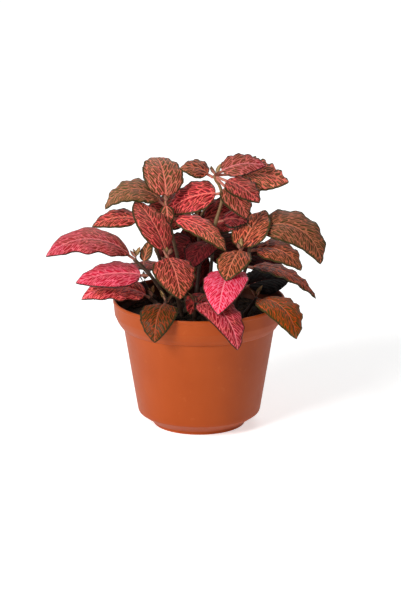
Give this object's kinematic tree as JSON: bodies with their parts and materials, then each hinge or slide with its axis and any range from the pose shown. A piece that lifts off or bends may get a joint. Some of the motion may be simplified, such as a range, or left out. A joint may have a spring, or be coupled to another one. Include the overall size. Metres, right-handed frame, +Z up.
{
  "type": "potted nerve plant",
  "caption": "Nerve plant with arched, pointed, net-veined red and bronze leaves on thin stems, rooted in potting mix in a round tapered plastic nursery pot with a collar.",
  "frame": {"origin": "centre of the pot's underside, on the surface that it stands on", "axes": "+Z up, -Y towards the plant's front, +X to the right as seen from the front"},
  "size_m": [0.1938, 0.1486, 0.1882],
  "materials": {
    "pot_plastic": "satin",
    "potting_mix": "matte",
    "stem_skin": "satin",
    "rose_leaf": "satin",
    "red_leaf": "satin",
    "bronze_leaf": "satin",
    "dark_leaf": "satin"
  },
  "bodies": {
    "root": {"pot": "pot_plastic", "soil": "potting_mix", "stem_tall_left": "stem_skin", "stem_front_left": "stem_skin", "stem_far_left": "stem_skin", "stem_mid_left": "stem_skin", "stem_tall_right": "stem_skin", "stem_front_right": "stem_skin", "stem_far_right": "stem_skin", "stem_low_front": "stem_skin", "stem_low_left": "stem_skin", "stem_low_right": "stem_skin", "stem_side_left": "stem_skin", "stem_back_left": "stem_skin", "stem_back_right": "stem_skin", "stem_low_back": "stem_skin", "stem_low_back_left": "stem_skin", "stem_mid_back": "stem_skin", "leaf_crest": "red_leaf", "leaf_crest_front": "red_leaf", "leaf_dome": "bronze_leaf", "leaf_centre": "red_leaf", "leaf_ladder_back": "red_leaf", "leaf_ladder_front": "red_leaf", "leaf_wave": "rose_leaf", "leaf_rose_left": "rose_leaf", "leaf_small_left": "bronze_leaf", "leaf_low_left": "rose_leaf", "leaf_mid_left": "red_leaf", "leaf_rim_left": "bronze_leaf", "leaf_rim_front": "rose_leaf", "leaf_rose_front": "rose_leaf", "leaf_fork_front": "bronze_leaf", "leaf_fork_back": "bronze_leaf", "leaf_right_arch": "bronze_leaf", "leaf_right_curl": "bronze_leaf", "leaf_right_blade": "bronze_leaf", "leaf_shaded_right": "dark_leaf", "leaf_rim_right": "bronze_leaf", "leaf_top_back": "rose_leaf", "leaf_top_left": "bronze_leaf", "leaf_top_right": "red_leaf", "leaf_top_front": "red_leaf", "leaf_top_low": "red_leaf", "leaf_red_left": "red_leaf", "leaf_inner_rose": "red_leaf", "leaf_inner_low": "red_leaf", "leaf_back_1": "bronze_leaf", "leaf_back_3": "rose_leaf", "leaf_back_4": "dark_leaf", "leaf_back_5": "red_leaf", "leaf_back_6": "rose_leaf", "leaf_back_7": "red_leaf", "leaf_back_8": "dark_leaf", "leaf_fill_1": "red_leaf", "leaf_fill_2": "red_leaf", "leaf_fill_3": "dark_leaf", "leaf_fill_4": "dark_leaf", "leaf_fill_5": "dark_leaf", "leaf_fill_6": "dark_leaf"}
  },
  "joints": []
}
